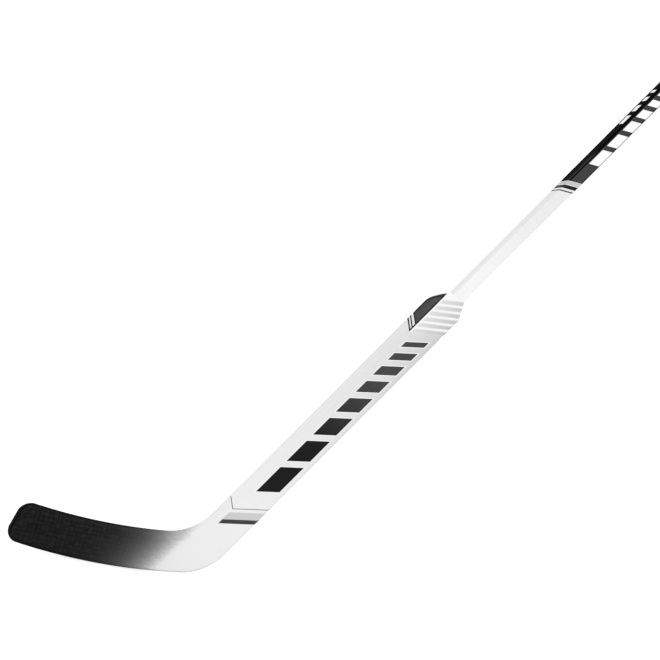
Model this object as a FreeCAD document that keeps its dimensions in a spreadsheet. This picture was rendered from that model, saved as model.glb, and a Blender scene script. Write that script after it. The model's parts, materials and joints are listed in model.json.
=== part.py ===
import FreeCAD, Part
import math
import os

import Sketcher

# Laminated goalie stick: hollow shaft, foam-cored paddle and foam-cored curved blade.
# Every piece is drawn in the stick's own flat frame, X up the shaft, Y towards the upper edge and
# the toe, Z out of the front face, and is then stood up in playing position by one placement.
# In that flat frame X is zero at the heel, where the paddle's lower edge and the sole would meet.

SIZES = {
    # shaft
    "overall_length": 1525.0,
    "shaft_width": 27.5,
    "shaft_depth": 21.0,
    "shaft_corner": 4.0,
    "shaft_wall": 2.0,
    "shaft_tenon": 170.0,
    "shaft_fit": 0.15,
    "tenon_plug_length": 40.0,
    "plug_fit": 0.1,
    "cap_plug_length": 25.0,
    "cap_flange": 3.0,
    "wrap_length": 531.0,
    "wrap_film": 0.3,
    # paddle, whose edges stand beyond the sides of the shaft and whose faces stand beyond its faces
    "paddle_length": 651.5,
    "upper_flare": 28.85,
    "lower_flare": 22.45,
    "face_wall": 0.85,
    "skin": 2.0,
    "bond": 0.2,
    "rib": 2.5,
    "rail_wall": 2.5,
    "upper_bevel": 17.0,
    "upper_nose": 2.5,
    "lower_bevel": 7.0,
    "lower_nose": 7.0,
    "edge_crown": 1.5,
    # shoulders
    "shoulder_straight": 31.5,
    "shoulder_stagger": 17.0,
    "upper_shoulder_radius": 33.0,
    "lower_shoulder_radius": 12.0,
    "shoulder_lip": 1.2,
    "shoulder_bevel": 2.5,
    "shoulder_nose": 8.5,
    "cut_overrun": 20.0,
    # heel and blade
    "joint_above_bend": 40.0,
    "heel_height": 60.0,
    "heel_radius": 106.5,
    "sole_radius": 1375.0,
    "sole_length": 359.7,
    "bend_height": 100.0,
    "bend_radius": 105.5,
    "top_radius": 1385.0,
    "top_length": 289.4,
    "blade_curve": 14.0,
    "blade_tongue": 6.0,
    "blade_rib": 6.0,
    "heel_tenon": 85.0,
    "toe_neck": 9.0,
    "toe_depth": 15.0,
    "toe_bevel": 5.0,
    "toe_nose": 4.5,
    "toe_top_round": 23.0,
    "toe_sole_round": 25.6,
    "toe_edge_round": 4.0,
}

# Angles in degrees that the heel and the inner bend turn through, from the paddle to the blade, and
# that the shoulders turn through before they run straight to the shaft.
HEEL_TURN = 52.0
BEND_TURN = 54.4
UPPER_SHOULDER_TURN = 37.0
LOWER_SHOULDER_TURN = 32.5

# Where along the sole it touches the ice, and over how much of the blade the paddle's bevel dies out.
CONTACT_SHARE = 0.45
BEVEL_FADE_SHARE = 0.6

# Sections drawn along the straight ends of the paddle, the bend, the blade, the toe and the shoulders.
STRAIGHT_STEPS = 5
BEND_STEPS = 10
BLADE_STEPS = 12
TOE_STEPS = 10
SHOULDER_STRAIGHT_STEPS = 3
SHOULDER_STEPS = 8

# The blade's sections lie closer together where it leaves the bend.
BLADE_GRADING = 1.6

FRONT = FreeCAD.Vector(0, 0, 1)
MM3_PER_CM3 = 1000

os.makedirs("parts", exist_ok=True)
doc = FreeCAD.newDocument("goalie_stick")


def make_sheet():
    """The spreadsheet that holds every driving dimension, in millimetres."""
    cells = doc.addObject("Spreadsheet::Sheet", "Sizes")
    for row, (name, value) in enumerate(SIZES.items(), start=1):
        cells.set(f"A{row}", name)
        cells.set(f"B{row}", str(value))
        cells.setAlias(f"B{row}", name)
    doc.recompute()
    return cells


class Size:
    """A length with the cell expression that gives it, so that a sum is written once for both."""

    def __init__(self, text, value):
        self.text = text
        self.value = value

    @staticmethod
    def of(other):
        return other if isinstance(other, Size) else Size(repr(float(other)), float(other))

    def __add__(self, other):
        other = Size.of(other)
        return Size(f"({self.text} + {other.text})", self.value + other.value)

    def __sub__(self, other):
        other = Size.of(other)
        return Size(f"({self.text} - {other.text})", self.value - other.value)

    def __mul__(self, other):
        other = Size.of(other)
        return Size(f"({self.text} * {other.text})", self.value * other.value)

    def __truediv__(self, other):
        other = Size.of(other)
        return Size(f"({self.text} / {other.text})", self.value / other.value)

    def __neg__(self):
        return Size(f"(0 - {self.text})", -self.value)


sheet = make_sheet()


def size(name):
    """A cell as an expression, for what the document keeps bound to the sheet."""
    return Size(f"Sizes.{name}", float(sheet.get(name)))


def length(name):
    """A cell's value, for the lofted shapes."""
    return float(sheet.get(name))


# Places along the shaft and across the paddle that several pieces share.
half_shaft = size("shaft_width") / 2
half_shaft_depth = size("shaft_depth") / 2
slot_side = half_shaft + size("shaft_fit")
rib_side = slot_side + size("rib")
rail_side = rib_side + size("bond")
paddle_upper = half_shaft + size("upper_flare")
paddle_lower = half_shaft + size("lower_flare")
half_paddle = half_shaft_depth + size("shaft_fit") + size("face_wall")
half_core = half_paddle - size("skin") - size("bond")
upper_flat = paddle_upper - size("upper_bevel")
lower_flat = paddle_lower - size("lower_bevel")
joint_height = size("bend_height") + size("joint_above_bend")
shoulder_base = size("paddle_length") - size("shoulder_straight")
paddle_reach = shoulder_base - joint_height
tenon_end = size("paddle_length") - size("shaft_tenon")
tube_end = size("overall_length") - size("cap_flange")
tube_bore_width = half_shaft - size("shaft_wall")
tube_bore_depth = half_shaft_depth - size("shaft_wall")
tube_bore_corner = size("shaft_corner") - size("shaft_wall")
tenon_bore_depth = half_core - size("shaft_wall")

# The edge channels: the upper one's cavity narrows along the bevel, a rail wall inside it.
crown = size("edge_crown")
upper_edge = upper_flat + size("bond")
upper_tip = paddle_upper - crown
bevel_slope = (half_paddle - size("upper_nose")) / (upper_tip - upper_edge)
cavity_half = half_core - size("rail_wall")
cavity_bend = upper_edge + (size("skin") + size("bond")) / bevel_slope
cavity_tip = upper_tip - size("rail_wall")
cavity_tip_half = size("upper_nose") + bevel_slope * size("rail_wall") - size("rail_wall")
lower_edge = lower_flat + size("bond")
lower_tip = paddle_lower - crown
lower_cavity = lower_tip - size("rail_wall")


def add_body(label):
    body = doc.addObject("PartDesign::Body", label)
    body.Label = label
    return body


def add_section_sketch(body, lift):
    """A sketch across the shaft, lifted along it. Its X is the stick's Y and its Y is the stick's Z."""
    planes = [plane for plane in body.Origin.OriginFeatures if plane.Role == "YZ_Plane"]
    sketch = body.newObject("Sketcher::SketchObject", f"{body.Name}_sketch")
    sketch.AttachmentSupport = (planes[0], "")
    sketch.MapMode = "FlatFace"
    sketch.setExpression("AttachmentOffset.Base.z", lift.text)
    return sketch


def bind_place(sketch, element, vertex, across, out):
    """Ties a drawn point's two coordinates to their cell expressions."""
    for kind, amount in (("DistanceX", across), ("DistanceY", out)):
        index = sketch.addConstraint(Sketcher.Constraint(kind, -1, 1, element, vertex, amount.value))
        sketch.setExpression(f"Constraints[{index}]", amount.text)


def bind_radius(sketch, element, radius):
    index = sketch.addConstraint(Sketcher.Constraint("Radius", element, radius.value))
    sketch.setExpression(f"Constraints[{index}]", radius.text)


def left_arc(start, end, radius):
    """A circular arc of under half a turn that bends to the left on its way from start to end."""
    chord = end - start
    side = FreeCAD.Vector(-chord.y, chord.x, 0).normalize()
    drop = math.sqrt(radius * radius - chord.Length * chord.Length / 4)
    center = (start + end) * 0.5 + side * drop
    begin = math.atan2(start.y - center.y, start.x - center.x)
    finish = math.atan2(end.y - center.y, end.x - center.x)
    return Part.ArcOfCircle(Part.Circle(center, FRONT, radius), begin, finish)


def draw_loop(sketch, corners):
    """A closed outline, anticlockwise. A corner is (x, y), or (x, y, radius) where an arc follows it."""
    points = [FreeCAD.Vector(corner[0].value, corner[1].value, 0) for corner in corners]
    elements = []
    for index, corner in enumerate(corners):
        start, end = points[index], points[(index + 1) % len(points)]
        line = len(corner) == 2
        edge = Part.LineSegment(start, end) if line else left_arc(start, end, corner[2].value)
        elements.append(sketch.addGeometry(edge))
    for index, element in enumerate(elements):
        follower = elements[(index + 1) % len(elements)]
        sketch.addConstraint(Sketcher.Constraint("Coincident", element, 2, follower, 1))
    for corner, element in zip(corners, elements):
        bind_place(sketch, element, 1, corner[0], corner[1])
        if len(corner) > 2:
            bind_radius(sketch, element, corner[2])


def pad(body, loops, start, reach):
    """Pads closed section loops along the shaft from start for the length reach."""
    sketch = add_section_sketch(body, start)
    for corners in loops:
        draw_loop(sketch, corners)
    feature = body.newObject("PartDesign::Pad", f"{body.Name}_pad")
    feature.Profile = sketch
    feature.setExpression("Length", reach.text)


def plate_loop(low, high, near, far):
    return [(low, near), (high, near), (high, far), (low, far)]


def round_loop(half_width, half_depth, corner):
    """A rectangle with round corners about the shaft's axis."""
    wide = half_width - corner
    deep = half_depth - corner
    return [
        (-wide, -half_depth), (wide, -half_depth, corner),
        (half_width, -deep), (half_width, deep, corner),
        (wide, half_depth), (-wide, half_depth, corner),
        (-half_width, deep), (-half_width, -deep, corner),
    ]


def crown_radius(nose):
    """Radius of the arc over an edge whose flat would be two noses deep, crowned by edge_crown."""
    return (nose * nose + crown * crown) / (crown * 2)


def shaft_tube():
    """The hollow shaft, necked down to a tenon that fits between the paddle's skins."""
    body = add_body("shaft_tube")
    outer = round_loop(half_shaft, half_shaft_depth, size("shaft_corner"))
    bore = round_loop(tube_bore_width, tube_bore_depth, tube_bore_corner)
    pad(body, [outer, bore], shoulder_base, tube_end - shoulder_base)
    tenon = round_loop(half_shaft, half_core, size("shaft_corner"))
    tenon_bore = round_loop(tube_bore_width, tenon_bore_depth, tube_bore_corner)
    pad(body, [tenon, tenon_bore], tenon_end, shoulder_base - tenon_end)
    return body


def plug_loop(bore_depth):
    """The outline of a plug that slips into the tube."""
    fit = size("plug_fit")
    return round_loop(tube_bore_width - fit, bore_depth - fit, tube_bore_corner)


def butt_cap():
    """A stepped plug: its flange covers the end of the tube."""
    body = add_body("butt_cap")
    plug = size("cap_plug_length")
    pad(body, [plug_loop(tube_bore_depth)], tube_end - plug, plug)
    flange = round_loop(half_shaft, half_shaft_depth, size("shaft_corner"))
    pad(body, [flange], tube_end, size("cap_flange"))
    return body


def tenon_plug():
    """Closes and stiffens the lower end of the tube."""
    body = add_body("tenon_plug")
    pad(body, [plug_loop(tenon_bore_depth)], tenon_end, size("tenon_plug_length"))
    return body


def shaft_wrap():
    """A film sleeve round the upper shaft."""
    body = add_body("shaft_wrap")
    film = size("wrap_film")
    outer = round_loop(half_shaft + film, half_shaft_depth + film, size("shaft_corner") + film)
    inner = round_loop(half_shaft, half_shaft_depth, size("shaft_corner"))
    pad(body, [outer, inner], tube_end - size("wrap_length"), size("wrap_length"))
    return body


def paddle_strip(label, loop):
    """A piece of one section from the blade's joint up to the shoulder block."""
    body = add_body(label)
    pad(body, [loop], joint_height, paddle_reach)
    return body


def paddle_front_skin():
    loop = plate_loop(-lower_flat, upper_flat, half_paddle - size("skin"), half_paddle)
    return paddle_strip("paddle_front_skin", loop)


def paddle_back_skin():
    loop = plate_loop(-lower_flat, upper_flat, -half_paddle, size("skin") - half_paddle)
    return paddle_strip("paddle_back_skin", loop)


def paddle_upper_rib():
    return paddle_strip("paddle_upper_rib", plate_loop(slot_side, rib_side, -half_core, half_core))


def paddle_lower_rib():
    return paddle_strip("paddle_lower_rib", plate_loop(-rib_side, -slot_side, -half_core, half_core))


def paddle_upper_rail():
    """The bevelled edge, a channel that opens towards the upper rib."""
    nose = size("upper_nose")
    return paddle_strip("paddle_upper_rail", [
        (rail_side, -half_core), (upper_edge, -half_core), (upper_edge, -half_paddle),
        (upper_tip, -nose, crown_radius(nose)), (upper_tip, nose),
        (upper_edge, half_paddle), (upper_edge, half_core), (rail_side, half_core),
        (rail_side, cavity_half), (cavity_bend, cavity_half), (cavity_tip, cavity_tip_half),
        (cavity_tip, -cavity_tip_half), (cavity_bend, -cavity_half), (rail_side, -cavity_half),
    ])


def paddle_upper_core():
    """Foam in the upper channel."""
    gap = size("bond")
    return paddle_strip("paddle_upper_core", [
        (rail_side, gap - cavity_half), (cavity_bend - gap, gap - cavity_half),
        (cavity_tip - gap, gap - cavity_tip_half), (cavity_tip - gap, cavity_tip_half - gap),
        (cavity_bend - gap, cavity_half - gap), (rail_side, cavity_half - gap),
    ])


def paddle_lower_rail():
    """The rounded lower edge, a channel that opens towards the lower rib."""
    nose = size("lower_nose")
    return paddle_strip("paddle_lower_rail", [
        (-rail_side, half_core), (-lower_edge, half_core), (-lower_edge, half_paddle),
        (-lower_tip, nose, crown_radius(nose)), (-lower_tip, -nose),
        (-lower_edge, -half_paddle), (-lower_edge, -half_core), (-rail_side, -half_core),
        (-rail_side, -cavity_half), (-lower_cavity, -cavity_half),
        (-lower_cavity, cavity_half), (-rail_side, cavity_half),
    ])


def paddle_lower_core():
    """Foam in the lower channel."""
    gap = size("bond")
    loop = plate_loop(gap - lower_cavity, -rail_side, gap - cavity_half, cavity_half - gap)
    return paddle_strip("paddle_lower_core", loop)


def paddle_center_core():
    """Foam between the ribs, from the heel block's tenon up to the end of the shaft."""
    body = add_body("paddle_center_core")
    start = joint_height + size("heel_tenon")
    pad(body, [plate_loop(-slot_side, slot_side, -half_core, half_core)], start, tenon_end - start)
    return body


def blend(first, last, reach):
    return first + (last - first) * reach


class Station:
    """One cross-section, from a point on the lower edge to one on the upper edge.

    Each edge has a bevel, how far in from the edge the flat face starts, and a nose, half the depth
    at the edge itself. Lift moves the section towards the front.
    """

    def __init__(self, low, high, half, lower, upper, lift=0.0):
        self.low = low
        self.across = (high - low).normalize()
        self.height = (high - low).Length
        self.half = half
        self.lower_bevel, self.lower_nose = lower
        self.upper_bevel, self.upper_nose = upper
        self.lift = lift

    def core_half(self):
        return self.half - length("skin") - length("bond")

    def core_span(self):
        """Lowest and highest reach of what lies between the two blade rails."""
        margin = length("blade_tongue") + length("bond")
        return self.lower_bevel + margin, self.height - self.upper_bevel - margin

    def rib_span(self):
        low, high = self.core_span()
        middle = (low + high) / 2
        return middle - length("blade_rib") / 2, middle + length("blade_rib") / 2

    def lower_core_span(self):
        return self.core_span()[0], self.rib_span()[0] - length("bond")

    def upper_core_span(self):
        return self.rib_span()[1] + length("bond"), self.core_span()[1]

    def point(self, height, depth):
        return self.low + self.across * height + FRONT * (self.lift + depth)


class Edge:
    """A paddle edge that runs straight down, round a bend and out along the blade to the toe."""

    def __init__(self, side, height, radius, turn, blade_radius, blade_length):
        self.side = side
        self.height = height
        self.radius = radius
        self.turn = math.radians(turn)
        self.blade_radius = blade_radius
        self.blade_length = blade_length

    def straight(self, share):
        return FreeCAD.Vector(blend(joint_height.value, self.height, share), self.side, 0)

    def bend(self, share):
        turned = self.turn * share
        down = self.radius * math.sin(turned)
        out = self.radius * (1 - math.cos(turned))
        return FreeCAD.Vector(self.height - down, self.side + out, 0)

    def blade(self, along):
        turned = self.turn + along / self.blade_radius
        down = self.blade_radius * (math.sin(turned) - math.sin(self.turn))
        out = self.blade_radius * (math.cos(self.turn) - math.cos(turned))
        return self.bend(1) + FreeCAD.Vector(-down, out, 0)


sole_edge = Edge(
    -paddle_lower.value, length("heel_height"), length("heel_radius"), HEEL_TURN,
    length("sole_radius"), length("sole_length"))
top_edge = Edge(
    paddle_upper.value, length("bend_height"), length("bend_radius"), BEND_TURN,
    length("top_radius"), length("top_length"))
paddle_lower_edge = (length("lower_bevel"), length("lower_nose"))
paddle_upper_edge = (length("upper_bevel"), length("upper_nose"))
toe_edge = (length("toe_bevel"), length("toe_nose"))


def paddle_station(low, high):
    """A section with the paddle's own edges."""
    return Station(low, high, half_paddle.value, paddle_lower_edge, paddle_upper_edge)


def blade_station(sole, top):
    """A section that far along the sole and the top of the blade, which bends to the back.

    The upper bevel dies out on the way.
    """
    reach = sole / sole_edge.blade_length
    fade = min(reach / BEVEL_FADE_SHARE, 1)
    half = blend(half_paddle.value, length("toe_depth") / 2, reach)
    lower = [blend(*pair, reach) for pair in zip(paddle_lower_edge, toe_edge)]
    upper = [blend(*pair, fade) for pair in zip(paddle_upper_edge, toe_edge)]
    lift = -length("blade_curve") * reach * reach
    return Station(sole_edge.blade(sole), top_edge.blade(top), half, lower, upper, lift)


def trim(radius, rest):
    """How much a round of this radius takes off at a distance rest from the end."""
    inside = max(radius - rest, 0)
    return radius - math.sqrt(radius * radius - inside * inside)


def toe_station(rest):
    """A section at a distance from the end of the toe, trimmed by the toe's rounds."""
    full = blade_station(sole_edge.blade_length - rest, top_edge.blade_length - rest)
    low = full.low + full.across * trim(length("toe_sole_round"), rest)
    high = full.low + full.across * (full.height - trim(length("toe_top_round"), rest))
    half = full.half - trim(length("toe_edge_round"), rest)
    nose_share = half / full.half
    lower = (full.lower_bevel, full.lower_nose * nose_share)
    upper = (full.upper_bevel, full.upper_nose * nose_share)
    return Station(low, high, half, lower, upper, full.lift)


def shoulder_path(radius, turn, drop, share):
    """How far along and how far in a shoulder has come: round an arc, then straight down to the lip."""
    turn = min(math.radians(turn), math.acos(max(1 - drop / radius, 0)))
    arc = radius * turn
    straight = (drop - radius * (1 - math.cos(turn))) / math.sin(turn)
    gone = (arc + straight) * share
    turned = min(gone, arc) / radius
    beyond = max(gone - arc, 0)
    along = radius * math.sin(turned) + beyond * math.cos(turn)
    inward = radius * (1 - math.cos(turned)) + beyond * math.sin(turn)
    return along, inward


def shoulder_station(share):
    """A section that share of the way down both shoulders, from the paddle's edges to the shaft."""
    lip = slot_side.value + length("shoulder_lip")
    lower_along, lower_in = shoulder_path(
        length("lower_shoulder_radius"), LOWER_SHOULDER_TURN, paddle_lower.value - lip, share)
    upper_along, upper_in = shoulder_path(
        length("upper_shoulder_radius"), UPPER_SHOULDER_TURN, paddle_upper.value - lip, share)
    start = length("paddle_length")
    low = FreeCAD.Vector(start + length("shoulder_stagger") + lower_along, lower_in - paddle_lower.value, 0)
    high = FreeCAD.Vector(start + upper_along, paddle_upper.value - upper_in, 0)
    at_shaft = (length("shoulder_bevel"), length("shoulder_nose"))
    lower = [blend(*pair, share) for pair in zip(paddle_lower_edge, at_shaft)]
    upper = [blend(*pair, share) for pair in zip(paddle_upper_edge, at_shaft)]
    return Station(low, high, half_paddle.value, lower, upper)


def steps(count, first=0):
    """Shares from first up to the whole, in equal steps."""
    return [step / count for step in range(first, count + 1)]


toe_round = max(length("toe_top_round"), length("toe_sole_round"))
toe_length = length("toe_neck") + toe_round
sole_run = sole_edge.blade_length - toe_length
top_run = top_edge.blade_length - toe_length
straight_stations = [
    paddle_station(sole_edge.straight(share), top_edge.straight(share)) for share in steps(STRAIGHT_STEPS)
]
bend_stations = [
    paddle_station(sole_edge.bend(share), top_edge.bend(share)) for share in steps(BEND_STEPS, first=1)
]
blade_stations = [
    blade_station(sole_run * share ** BLADE_GRADING, top_run * share ** BLADE_GRADING)
    for share in steps(BLADE_STEPS, first=1)
]
all_stations = straight_stations + bend_stations + blade_stations
core_stations = straight_stations[-1:] + bend_stations + blade_stations


def wire(points, bulges):
    """A closed wire of straight edges. Bulges gives the point that an edge curves through, by index."""
    edges = []
    for index, start in enumerate(points):
        end = points[(index + 1) % len(points)]
        if index in bulges:
            edges.append(Part.Arc(start, bulges[index], end).toShape())
        else:
            edges.append(Part.makeLine(start, end))
    return Part.Wire(edges)


def plate_wire(station, span, near, far):
    """A four-sided section between two heights and two depths."""
    low, high = span
    corners = [(low, near), (high, near), (high, far), (low, far)]
    return wire([station.point(height, depth) for height, depth in corners], {})


def rail_wire(station, bevel, nose, place):
    """An edge strip: a tongue between the skins, then a bevelled edge with a crowned nose.

    Place turns a distance in from the edge into a height on the section.
    """
    seat = bevel - length("bond")
    root = bevel + length("blade_tongue")
    lip = length("edge_crown")
    half, inner = station.half, station.core_half()
    profile = [
        (lip, nose), (lip, -nose), (seat, -half), (seat, -inner),
        (root, -inner), (root, inner), (seat, inner), (seat, half),
    ]
    points = [station.point(place(away), depth) for away, depth in profile]
    return wire(points, {0: station.point(place(0), 0)})


def outline_wire(station):
    """The whole section, with both crowned noses."""
    half, lip = station.half, length("edge_crown")
    top, sole = station.height - station.upper_bevel, station.lower_bevel
    profile = [
        (station.height - lip, station.upper_nose), (station.height - lip, -station.upper_nose),
        (top, -half), (sole, -half),
        (lip, -station.lower_nose), (lip, station.lower_nose),
        (sole, half), (top, half),
    ]
    points = [station.point(height, depth) for height, depth in profile]
    return wire(points, {0: station.point(station.height, 0), 4: station.point(0, 0)})


def loft(wires):
    """A smooth solid through closed wires."""
    return Part.makeLoft(wires, True, False)


def add_shape(label, shape):
    feature = doc.addObject("Part::Feature", label)
    feature.Label = label
    feature.Shape = shape
    return feature


def shoulder_block():
    """The top of the paddle, with sloping shoulders and the mortise that the shaft passes through."""
    low = FreeCAD.Vector(shoulder_base.value, -paddle_lower.value, 0)
    high = FreeCAD.Vector(shoulder_base.value, paddle_upper.value, 0)
    first = shoulder_station(0)
    stations = [
        paddle_station(low + (first.low - low) * share, high + (first.point(first.height, 0) - high) * share)
        for share in steps(SHOULDER_STRAIGHT_STEPS)
    ]
    stations += [shoulder_station(share) for share in steps(SHOULDER_STEPS, first=1)]
    block = loft([outline_wire(station) for station in stations])

    over = length("cut_overrun")
    half_wide = slot_side.value
    half_deep = (half_shaft_depth + size("shaft_fit")).value
    reach = stations[-1].low.x - shoulder_base.value + over * 2
    corner = FreeCAD.Vector(shoulder_base.value - over, -half_wide, -half_deep)
    mortise = Part.makeBox(reach, half_wide * 2, half_deep * 2, corner)
    long_edges = [edge for edge in mortise.Edges if math.isclose(edge.Length, reach)]
    mortise = mortise.makeFillet(length("shaft_corner") + length("shaft_fit"), long_edges)
    return add_shape("shoulder_block", block.cut(mortise))


def blade_skin(label, near, far):
    """A face laminate; near and far say how it lies in a section's depth."""
    wires = []
    for station in all_stations:
        span = (station.lower_bevel, station.height - station.upper_bevel)
        wires.append(plate_wire(station, span, near(station), far(station)))
    return add_shape(label, loft(wires))


def blade_front_skin():
    return blade_skin("blade_front_skin", lambda at: at.half - length("skin"), lambda at: at.half)


def blade_back_skin():
    return blade_skin("blade_back_skin", lambda at: -at.half, lambda at: length("skin") - at.half)


def blade_top_rail():
    wires = [
        rail_wire(at, at.upper_bevel, at.upper_nose, lambda away, at=at: at.height - away)
        for at in all_stations
    ]
    return add_shape("blade_top_rail", loft(wires))


def blade_sole_rail():
    wires = [rail_wire(at, at.lower_bevel, at.lower_nose, lambda away: away) for at in all_stations]
    return add_shape("blade_sole_rail", loft(wires))


def inner_loft(stations, span):
    """What fills a span of the sections between the two skins."""
    return loft([plate_wire(at, span(at), -at.core_half(), at.core_half()) for at in stations])


def heel_block():
    """Fills the heel between the rails, with a straight tenon up between the paddle's ribs."""
    block = inner_loft(straight_stations, Station.core_span)
    corner = FreeCAD.Vector(joint_height.value, -slot_side.value, -half_core.value)
    tenon = Part.makeBox(length("heel_tenon"), slot_side.value * 2, half_core.value * 2, corner)
    return add_shape("heel_block", block.fuse(tenon).removeSplitter())


def blade_upper_core():
    return add_shape("blade_upper_core", inner_loft(core_stations, Station.upper_core_span))


def blade_lower_core():
    return add_shape("blade_lower_core", inner_loft(core_stations, Station.lower_core_span))


def blade_rib():
    return add_shape("blade_rib", inner_loft(core_stations, Station.rib_span))


def toe_block():
    """Closes the end of the blade, with a round corner at the sole and another at the top."""
    rests = [toe_length]
    for share in steps(TOE_STEPS):
        rests.append(toe_round * (1 - math.sin(share * math.pi / 2)))
    return add_shape("toe_block", loft([outline_wire(toe_station(rest)) for rest in rests]))


def stand_up(pieces):
    """Turns the flat stick to its playing position, with the sole's contact point at the origin."""
    along = sole_edge.blade_length * CONTACT_SHARE
    lie = HEEL_TURN + math.degrees(along / sole_edge.blade_radius)
    turn = FreeCAD.Rotation(0, -lie, 90)
    placement = FreeCAD.Placement(-turn.multVec(sole_edge.blade(along)), turn)
    for piece in pieces:
        piece.Placement = placement
    print(f"paddle stands {lie:.2f} degrees from the ice")


pieces = [
    shaft_tube(),
    butt_cap(),
    tenon_plug(),
    shaft_wrap(),
    shoulder_block(),
    paddle_front_skin(),
    paddle_back_skin(),
    paddle_upper_rail(),
    paddle_lower_rail(),
    paddle_upper_rib(),
    paddle_lower_rib(),
    paddle_upper_core(),
    paddle_center_core(),
    paddle_lower_core(),
    heel_block(),
    blade_front_skin(),
    blade_back_skin(),
    blade_top_rail(),
    blade_sole_rail(),
    blade_upper_core(),
    blade_lower_core(),
    blade_rib(),
    toe_block(),
]
stand_up(pieces)
doc.recompute()

for item in doc.Objects:
    if "Invalid" in item.State or "Error" in item.State:
        raise RuntimeError(f"{item.Label} failed: {item.State}")
for piece in pieces:
    if piece.Shape.isNull() or not piece.Shape.isValid() or not piece.Shape.Solids:
        raise RuntimeError(f"{piece.Label} has no valid solid")
for piece in pieces:
    piece.Shape.exportStep(f"parts/{piece.Label}.step")
    cubic_cm = piece.Shape.Volume / MM3_PER_CM3
    print(f"{piece.Label}: {len(piece.Shape.Solids)} solid, {cubic_cm:.1f} cm3")
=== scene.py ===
import json
import math

import bmesh
import bpy
from mathutils import Matrix, Vector


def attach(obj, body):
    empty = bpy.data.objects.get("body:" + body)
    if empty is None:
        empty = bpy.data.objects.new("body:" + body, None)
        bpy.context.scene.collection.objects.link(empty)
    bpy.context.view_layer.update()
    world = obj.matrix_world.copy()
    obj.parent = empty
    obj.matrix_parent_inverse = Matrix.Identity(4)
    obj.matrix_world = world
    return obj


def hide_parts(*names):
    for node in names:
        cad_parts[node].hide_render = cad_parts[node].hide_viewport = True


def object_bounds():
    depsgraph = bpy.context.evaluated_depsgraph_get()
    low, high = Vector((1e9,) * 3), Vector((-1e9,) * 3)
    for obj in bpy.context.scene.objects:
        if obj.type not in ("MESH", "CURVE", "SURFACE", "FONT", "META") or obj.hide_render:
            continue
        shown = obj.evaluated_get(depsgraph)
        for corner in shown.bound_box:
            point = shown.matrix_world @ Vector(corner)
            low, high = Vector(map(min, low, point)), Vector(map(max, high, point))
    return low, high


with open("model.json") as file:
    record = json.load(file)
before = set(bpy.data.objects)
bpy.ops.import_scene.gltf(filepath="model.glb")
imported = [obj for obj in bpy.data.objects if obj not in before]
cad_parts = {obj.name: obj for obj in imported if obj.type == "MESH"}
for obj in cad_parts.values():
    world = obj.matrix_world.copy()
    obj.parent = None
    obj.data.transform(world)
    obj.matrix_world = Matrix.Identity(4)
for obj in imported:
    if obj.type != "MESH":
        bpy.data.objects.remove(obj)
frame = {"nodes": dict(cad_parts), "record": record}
cad_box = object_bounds()
record = frame["record"]
nodes = frame["nodes"]

# The stick's own directions, in metres: along the shaft from heel to butt, across the paddle towards
# its upper edge and the toe, and out of the front face. The butt's flat end fixes them.
OVERALL_LENGTH = 1.525
butt_mount = next(mount for mount in record["mounts"] if mount["name"] == "butt_end")
ALONG = Vector(butt_mount["axis"]).normalized()
OUT = Vector((0, -1, 0))
ACROSS = OUT.cross(ALONG)
HEEL = Vector(butt_mount["pos_m"]) - ALONG * OVERALL_LENGTH
LIE = math.atan2(ALONG.z, ALONG.x)

# Shaft and paddle sizes that the finishes and the cap follow. The flat's edge is where the upper bevel
# starts. Beyond is past the whole stick, for a stripe with only one edge on it.
SHAFT_WIDTH = 0.0275
SHAFT_DEPTH = 0.021
SHAFT_CORNER = 0.004
SHAFT_WALL = 0.002
PLUG_FIT = 0.0001
CAP_FLANGE = 0.003
CAP_PLUG = 0.025
CAP_EDGE_ROUND = 0.0016
CAP_CORNER_STEPS = 6
CAP_EDGE_STEPS = 4
CAP_UNDER_FACING = -0.9
CAP_SMOOTH = math.radians(40.0)
PADDLE_UPPER = 0.0426
PADDLE_LOWER = 0.0362
FLAT_EDGE = 0.0256
HALF_PADDLE = 0.0115
BEYOND = 2 * OVERALL_LENGTH
PAINT_EDGE_SOFT = 0.0004

# Linear colours.
PAINT_WHITE = 0.855
KEYLINE_WHITE = 0.90
SHAFT_WHITE = 0.87
SHAFT_GREYED = 0.77
# Painted shade: the grey that the shaft's sides are painted towards, where they turn from the light.
SHAFT_SIDE_PAINTED_SHADE = 0.74
FADED_GREY = 0.59
STRIPE_GREY = 0.61
STRIPE_PALE = 0.70
STRIPE_DEEP = 0.50
GAP_WHITE = 0.88
BAND_GREY = 0.53
BAND_BLACK = 0.018
PANEL_GREY = 0.062
INK_BLACK = 0.004
INK_GREY = 0.055
LINE_GREY = 0.15
LINE_DARK = 0.08
WEAVE_DARK = 0.003
WEAVE_LIGHT = 0.0215
WEAVE_COOLNESS = 1.04
RIM_BLACK = 0.002
FILM_FRONT = 0.052
FILM_SIDE = 0.002
FILM_GLINT = 0.045
RUBBER_BLACK = 0.008
RUBBER_DUSTY = 0.022
RIB_DARK = 0.012
RIB_LIGHT = 0.045
PLUG_DARK = 0.09
PLUG_LIGHT = 0.13
FLOOR_WHITE = 0.80
FLOOR_VEIL = 0.36
FOAM_LIGHT = (0.82, 0.76, 0.60, 1.0)
FOAM_DARK = (0.58, 0.50, 0.34, 1.0)


def grey(level, tint=1.0):
    """A neutral colour, or a slightly cool one with a tint above 1."""
    return (level, level, level * tint, 1.0)


def on_stick(along, across):
    """A place on the stick's middle plane as a point of the frame."""
    return HEEL + ALONG * along + ACROSS * across


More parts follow.
